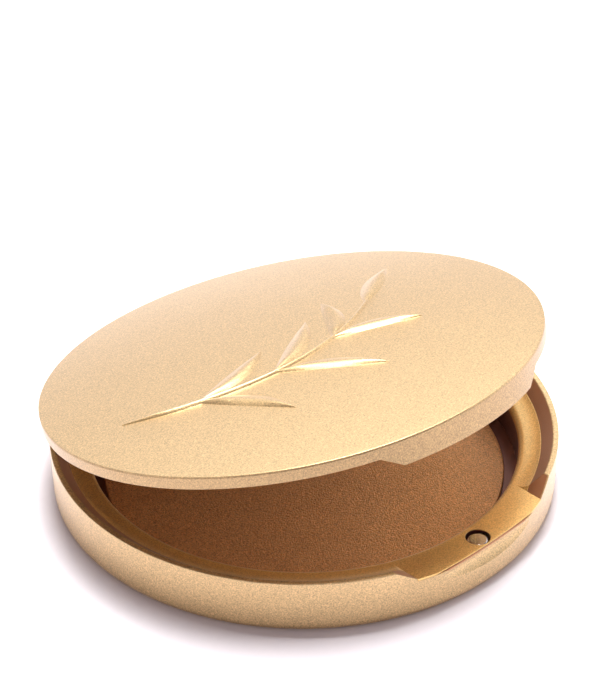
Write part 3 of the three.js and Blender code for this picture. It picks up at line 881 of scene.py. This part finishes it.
def champagne_paint(
    name, tint, roughness=0.40, coat=0.7, grain_mm=0.0, contrast=1.0, rim_wall_shade_share=0.0, skirt_shade_share=0.0
):
    """Satin metallic paint: fine flakes under a soft clear coat, slightly uneven, with a few hairline marks.
    A grain depth above 0 adds the leather-like surface of the well's floor, which gets no painted shade."""
    nodes = Nodes(name)
    place = nodes.millimetres()
    flake = nodes.cells(place, 7.5, "Color")
    flake_grey = nodes.add("ShaderNodeSeparateColor", {"Color": flake}).outputs["Red"]
    cloud = nodes.noise(place, 0.09, 3.0)
    speck = nodes.noise(place, 4.6, 2.0, 0.6)
    colour = nodes.mixed(nodes.ranged(cloud, 0.0, 0.5, 0.3, 0.7), tint, scaled(tint, 0.92))
    colour = nodes.mixed(nodes.ranged(flake_grey, 0.0, 0.6, 0.55, 1.0), colour, scaled(tint, 1.22))
    shade = nodes.ranged(speck, 1 - 0.42 * contrast, 1 + 0.36 * contrast, 0.25, 0.75)
    grey = nodes.add("ShaderNodeCombineColor", {"Red": shade, "Green": shade, "Blue": shade}).outputs["Color"]
    colour = nodes.mixed(1.0, colour, grey, "MULTIPLY")
    if grain_mm == 0:
        # painted shade in the gap, the hole, on the rim's steep wall and on the skirt
        colour = with_painted_shade(nodes, place, colour, rim_wall_shade_share, skirt_shade_share)

    stretched = nodes.vector("MULTIPLY", place, (0.08, 1.9, 0.6))["Vector"]
    hairline = nodes.above(nodes.noise(stretched, 2.2, 4.0, 0.7), 0.66, 0.72)
    uneven = nodes.ranged(cloud, roughness - 0.03, roughness + 0.04)
    rough = nodes.math("ADD", uneven, nodes.product(hairline, 0.05))

    rounded = nodes.add("ShaderNodeBevel", {"Radius": EDGE_SOFTNESS * MM}, samples=6).outputs["Normal"]
    normal = nodes.bump(nodes.math("ADD", speck, nodes.product(flake_grey, 0.5)), 0.016, rounded)
    if grain_mm > 0:
        pebble = nodes.cells(place, 5.0, feature="SMOOTH_F1")
        wrinkle = nodes.noise(place, 4.2, 3.0, 0.6)
        grain = nodes.math("ADD", nodes.below(pebble, 0.0, 0.7), wrinkle)
        normal = nodes.bump(grain, grain_mm, normal)
    coat_normal = nodes.bump(cloud, 0.05, rounded)
    nodes.set(
        nodes.shader,
        {
            "Base Color": colour,
            "Metallic": 0.82,
            "Roughness": rough,
            "Normal": normal,
            "Coat Weight": coat,
            "Coat Roughness": 0.32,
            "Coat Normal": coat_normal,
        },
    )
    return nodes.material


def plated_nickel():
    """Bright nickel plating with light handling marks round its edge."""
    nodes = Nodes("plated_nickel")
    place = nodes.millimetres()
    cloud = nodes.noise(place, 1.4, 4.0)
    pit = nodes.below(nodes.cells(place, 3.0), 0.0, 0.12)
    colour = nodes.mixed(nodes.above(cloud, 0.35, 0.65), rgb(0.70, 0.66, 0.64), rgb(0.55, 0.50, 0.47))
    rough = nodes.math("ADD", nodes.ranged(cloud, 0.10, 0.24), nodes.product(pit, 0.2))
    normal = nodes.bump(nodes.math("SUBTRACT", nodes.noise(place, 6.0, 3.0), pit), 0.006)
    nodes.set(nodes.shader, {"Base Color": colour, "Metallic": 1.0, "Roughness": rough, "Normal": normal})
    return nodes.material


def ground_steel():
    """Ground pin: fine rings left by the grinding wheel."""
    nodes = Nodes("ground_steel")
    place = nodes.millimetres()
    squeezed = nodes.vector("MULTIPLY", place, (9.0, 0.4, 0.4))["Vector"]
    rings = nodes.noise(squeezed, 1.5, 4.0, 0.7)
    colour = nodes.mixed(rings, rgb(0.50, 0.51, 0.52), rgb(0.66, 0.67, 0.68))
    nodes.set(
        nodes.shader,
        {
            "Base Color": colour,
            "Metallic": 1.0,
            "Roughness": nodes.ranged(rings, 0.18, 0.36),
            "Normal": nodes.bump(rings, 0.004),
        },
    )
    return nodes.material


def mirror_silver():
    """Silvered glass with a trace of dust and finger haze."""
    nodes = Nodes("mirror_silver")
    place = nodes.millimetres()
    haze = nodes.noise(place, 0.07, 4.0, 0.6)
    dust = nodes.below(nodes.cells(place, 0.9), 0.03, 0.06)
    colour = nodes.mixed(nodes.ranged(haze, 0.0, 0.6, 0.4, 0.8), rgb(0.90, 0.92, 0.92), rgb(0.84, 0.86, 0.86))
    rough = nodes.math("ADD", nodes.ranged(haze, 0.012, 0.05, 0.4, 0.8), nodes.product(dust, 0.25))
    normal = nodes.bump(dust, 0.003)
    nodes.set(nodes.shader, {"Base Color": colour, "Metallic": 1.0, "Roughness": rough, "Normal": normal})
    return nodes.material


def foam_tape():
    """White closed-cell foam."""
    nodes = Nodes("foam_tape")
    place = nodes.millimetres()
    bubbles = nodes.cells(place, 5.0)
    colour = nodes.mixed(bubbles, rgb(0.72, 0.70, 0.66), rgb(0.86, 0.85, 0.81))
    rough = nodes.ranged(bubbles, 0.75, 0.95)
    normal = nodes.bump(bubbles, 0.05)
    nodes.set(nodes.shader, {"Base Color": colour, "Roughness": rough, "Normal": normal})
    return nodes.material


# the lid's paint carries painted shade on its skirt
lid_paint = champagne_paint("lid_paint", PAINT, skirt_shade_share=1.0)
# the base's paint carries painted shade on the steep wall inside the rim
base_paint = champagne_paint("base_paint", PAINT, contrast=1.05, rim_wall_shade_share=1.0)
inner_paint = champagne_paint("inner_paint", INNER_PAINT, roughness=0.31, coat=0.3, contrast=0.7)
lid_inner_paint = champagne_paint("lid_inner_paint", PAINT, roughness=0.36, coat=0.4)
grained_paint = champagne_paint(
    "grained_paint", WELL_PAINT, roughness=0.42, coat=0.25, grain_mm=0.055, contrast=1.15
)
nickel = plated_nickel()
steel = ground_steel()
silver = mirror_silver()
foam = foam_tape()

placed(base_shell(), "base_shell_finish", "base_shell", base_paint)
placed(base_tray(), "base_tray_finish", "base_tray", inner_paint)
placed(well_floor_plate(), "well_floor_finish", "well_floor_plate", grained_paint)
placed(closure_magnet(magnet_low.z), "base_magnet_finish", "base_closure_magnet", nickel)
for side in ("left", "right"):
    placed(hinge_pin(f"hinge_pin_{side}"), f"pin_{side}_finish", f"hinge_pin_{side}", steel)

placed(opened(lid_shell()), "lid_shell_finish", "lid_shell", lid_paint)
placed(opened(mirror_frame()), "mirror_frame_finish", "mirror_frame", lid_inner_paint)
placed(opened(mirror()), "mirror_finish", "mirror", silver)
lid_magnet = closure_magnet(-TAB_DEPTH + LID_MAGNET_RECESS)
placed(opened(lid_magnet), "lid_magnet_finish", "lid_closure_magnet", nickel)
for node, material in (("refill_magnet", nickel), ("mirror_adhesive", foam)):
    shown = frame["nodes"][node]
    shown.data.materials.clear()
    shown.data.materials.append(material)

# ---------------------------------------------------------------- floor, light and camera

FLOOR_R = 1800
FLOOR_DROP = 0.02  # just below the rest face, so that the two do not share a plane


def studio_floor():
    floor = turned("studio_floor", [(0, -FLOOR_DROP), (FLOOR_R, -FLOOR_DROP)], 64)
    nodes = Nodes("white_paper")
    place = nodes.millimetres()
    fibre = nodes.noise(place, 0.8, 4.0)
    nodes.set(
        nodes.shader,
        {
            "Base Color": nodes.mixed(fibre, rgb(0.90, 0.86, 0.90), rgb(0.93, 0.89, 0.93)),
            "Roughness": 0.9,
            "Specular IOR Level": 0.1,
        },
    )
    floor.data.materials.append(nodes.material)


def softbox(name, place, target, size, power):
    """A white rectangle of light. Its place, target and size are in metres and its power in watts."""
    light = bpy.data.lights.new(name, "AREA")
    light.shape = "RECTANGLE"
    light.size, light.size_y = size
    light.energy = power
    lamp = bpy.data.objects.new(name, light)
    bpy.context.scene.collection.objects.link(lamp)
    lamp.location = place
    lamp.rotation_euler = (Vector(target) - Vector(place)).to_track_quat("-Z", "Y").to_euler()


def studio_light():
    world = bpy.data.worlds.new("studio")
    bpy.context.scene.world = world
    world.use_nodes = True
    background = world.node_tree.nodes["Background"]
    background.inputs["Color"].default_value = rgb(1.0, 0.86, 0.96)
    background.inputs["Strength"].default_value = 0.24
    softbox("key_box", (0.138, 0.145, 0.798), (0, 0, 0), (0.33, 0.33), 12)
    softbox("low_panel", (0.95, 0.96, 0.16), (0, 0, 0.16), (2.6, 0.44), 1.75)
    softbox("high_panel", (0.90, 0.91, 0.80), (0, 0, 0.0), (2.2, 0.80), 5.6)
    softbox("side_panel", (1.02, -0.36, 0.50), (0, 0, 0.0), (0.8, 0.9), 3.7)
    softbox("front_panel", (0.62, -0.86, 0.20), (0, 0, 0.05), (1.2, 0.36), 1.8)
    softbox("left_panel", (-0.80, 0.10, 0.22), (0, 0, 0.02), (0.9, 0.36), 1.0)


def camera():
    """The eye and aim are in millimetres; the roll is in degrees."""
    eye, aim, roll = Vector((-258.1, -259.2, 271.0)), Vector((13.8, 14.6, 8.8)), -0.457
    data = bpy.data.cameras.new("camera")
    data.sensor_width = 36
    data.lens = 154.82
    data.clip_start, data.clip_end = 0.01, 10
    thing = bpy.data.objects.new("camera", data)
    bpy.context.scene.collection.objects.link(thing)
    facing = (aim - eye).to_track_quat("-Z", "Y").to_matrix().to_4x4()
    thing.matrix_world = Matrix.Translation(eye * MM) @ facing @ Matrix.Rotation(math.radians(roll), 4, "Z")
    bpy.context.scene.camera = thing


studio_floor()
studio_light()
camera()
bpy.context.scene.view_settings.view_transform = "Standard"
